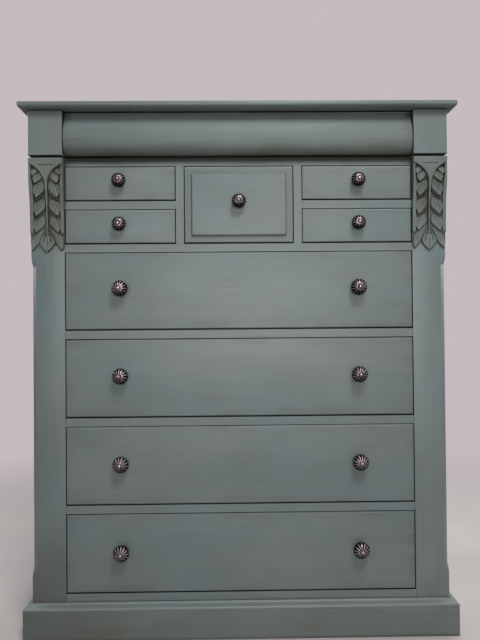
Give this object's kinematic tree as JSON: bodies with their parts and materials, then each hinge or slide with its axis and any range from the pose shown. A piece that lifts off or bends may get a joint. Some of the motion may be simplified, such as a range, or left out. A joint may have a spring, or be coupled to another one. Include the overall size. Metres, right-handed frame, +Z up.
{
  "type": "tall chest of drawers",
  "caption": "Tall painted chest of drawers with a hidden cushion-front frieze drawer, carved corbels on chamfered posts, a panelled centre drawer, fluted knobs and a moulded plinth.",
  "frame": {"origin": "on the floor, under the middle of the footprint", "axes": "+Z up; the drawer fronts face -Y; +X is to the right as one faces the front"},
  "size_m": [1.077, 0.5, 1.317],
  "materials": {
    "paint": "satin sage-green furniture paint with a brown antiquing glaze in the recesses",
    "carved_paint": "the same paint over carving, with heavier brown glaze in the cuts",
    "drawer_wood": "bare aged pine, dry",
    "back_wood": "bare rough-sawn boards, darkened",
    "knob_metal": "antique pewter plating, dark in the flutes and rubbed bright on the ridges"
  },
  "bodies": {
    "carcass": {"top_board": "paint", "post_left": "paint", "post_right": "paint", "side_panel_left": "paint", "side_panel_right": "paint", "back_panel": "back_wood", "corner_block_left": "paint", "corner_block_right": "paint", "corbel_left": "carved_paint", "corbel_right": "carved_paint", "bottom_rail": "paint", "long_rail_3": "paint", "long_rail_2": "paint", "long_rail_1": "paint", "middle_rail": "paint", "frieze_rail": "paint", "upright_left": "paint", "upright_right": "paint", "small_rail_left": "paint", "small_rail_right": "paint", "plinth_front": "paint", "plinth_left": "paint", "plinth_right": "paint", "plinth_moulding": "paint", "plinth_back": "back_wood"},
    "drawer_small_upper_left": {"small_upper_left_front": "paint", "small_upper_left_box": "drawer_wood", "knob_small_upper_left": "knob_metal"},
    "drawer_small_lower_left": {"small_lower_left_front": "paint", "small_lower_left_box": "drawer_wood", "knob_small_lower_left": "knob_metal"},
    "drawer_centre": {"centre_front": "paint", "centre_box": "drawer_wood", "knob_centre": "knob_metal"},
    "drawer_small_upper_right": {"small_upper_right_front": "paint", "small_upper_right_box": "drawer_wood", "knob_small_upper_right": "knob_metal"},
    "drawer_small_lower_right": {"small_lower_right_front": "paint", "small_lower_right_box": "drawer_wood", "knob_small_lower_right": "knob_metal"},
    "drawer_long_1": {"long_1_front": "paint", "long_1_box": "drawer_wood", "knob_long_1_left": "knob_metal", "knob_long_1_right": "knob_metal"},
    "drawer_long_2": {"long_2_front": "paint", "long_2_box": "drawer_wood", "knob_long_2_left": "knob_metal", "knob_long_2_right": "knob_metal"},
    "drawer_long_3": {"long_3_front": "paint", "long_3_box": "drawer_wood", "knob_long_3_left": "knob_metal", "knob_long_3_right": "knob_metal"},
    "drawer_long_4": {"long_4_front": "paint", "long_4_box": "drawer_wood", "knob_long_4_left": "knob_metal", "knob_long_4_right": "knob_metal"},
    "drawer_frieze": {"frieze_drawer_front": "paint", "frieze_drawer_box": "drawer_wood"}
  },
  "joints": [
    {"name": "small_upper_left_slide", "type": "slide", "parent": "carcass", "child": "drawer_small_upper_left", "axis": [0, -1, 0], "range_m": [0, 0.3]},
    {"name": "small_lower_left_slide", "type": "slide", "parent": "carcass", "child": "drawer_small_lower_left", "axis": [0, -1, 0], "range_m": [0, 0.3]},
    {"name": "centre_slide", "type": "slide", "parent": "carcass", "child": "drawer_centre", "axis": [0, -1, 0], "range_m": [0, 0.3]},
    {"name": "small_upper_right_slide", "type": "slide", "parent": "carcass", "child": "drawer_small_upper_right", "axis": [0, -1, 0], "range_m": [0, 0.3]},
    {"name": "small_lower_right_slide", "type": "slide", "parent": "carcass", "child": "drawer_small_lower_right", "axis": [0, -1, 0], "range_m": [0, 0.3]},
    {"name": "long_1_slide", "type": "slide", "parent": "carcass", "child": "drawer_long_1", "axis": [0, -1, 0], "range_m": [0, 0.33]},
    {"name": "long_2_slide", "type": "slide", "parent": "carcass", "child": "drawer_long_2", "axis": [0, -1, 0], "range_m": [0, 0.33]},
    {"name": "long_3_slide", "type": "slide", "parent": "carcass", "child": "drawer_long_3", "axis": [0, -1, 0], "range_m": [0, 0.33]},
    {"name": "long_4_slide", "type": "slide", "parent": "carcass", "child": "drawer_long_4", "axis": [0, -1, 0], "range_m": [0, 0.33]},
    {"name": "frieze_slide", "type": "slide", "parent": "carcass", "child": "drawer_frieze", "axis": [0, -1, 0], "range_m": [0, 0.3]}
  ]
}
